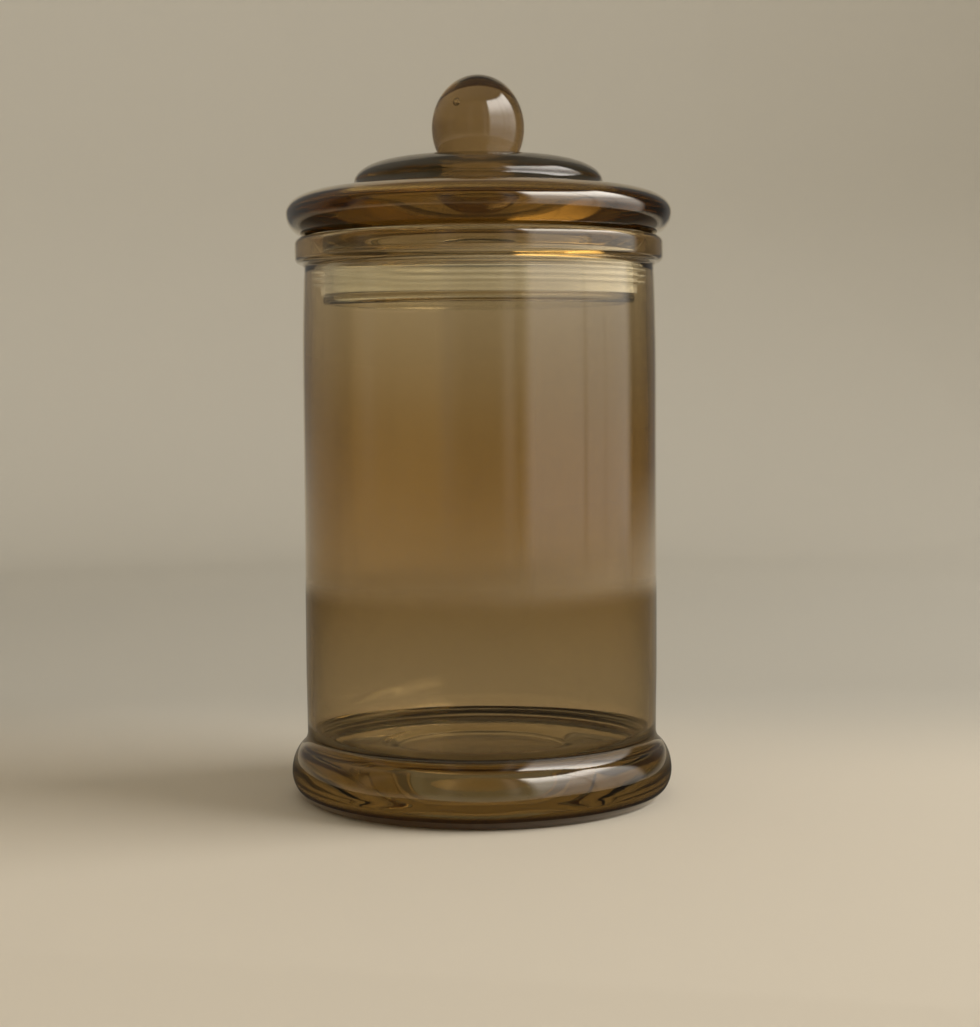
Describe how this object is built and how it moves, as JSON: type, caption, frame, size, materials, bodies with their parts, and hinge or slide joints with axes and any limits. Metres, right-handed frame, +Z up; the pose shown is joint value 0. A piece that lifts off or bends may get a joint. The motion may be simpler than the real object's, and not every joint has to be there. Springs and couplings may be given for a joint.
{
  "type": "apothecary jar",
  "caption": "Straight-sided amber lustre glass jar with a rolled rim and bulging foot, closed by a knobbed glass lid whose collar carries a ribbed sealing sleeve.",
  "frame": {"origin": "centre of the jar's base, on the surface that it stands on", "axes": "+Z up along the jar's axis, from the base to the knob; X and Y are any two directions across it"},
  "size_m": [0.1086, 0.1086, 0.203],
  "materials": {
    "amber_glass": "smooth glass with a thin amber-brown lustre coat on its outside",
    "dark_amber_glass": "smooth thick glass with the same lustre coat",
    "seal_silicone": "satin, milky and translucent"
  },
  "bodies": {
    "jar": {"jar_body": "amber_glass"},
    "seal": {"seal_ring": "seal_silicone"},
    "lid": {"lid": "dark_amber_glass", "knob": "dark_amber_glass"}
  },
  "joints": [
    {"name": "lid_lift", "type": "slide", "parent": "jar", "child": "seal", "axis": [0, 0, 1], "range_m": [0, 0.12]},
    {"name": "lid_turn", "type": "hinge", "parent": "seal", "child": "lid", "pos_m": [0, 0, 0.1478], "axis": [0, 0, 1], "continuous": true}
  ]
}
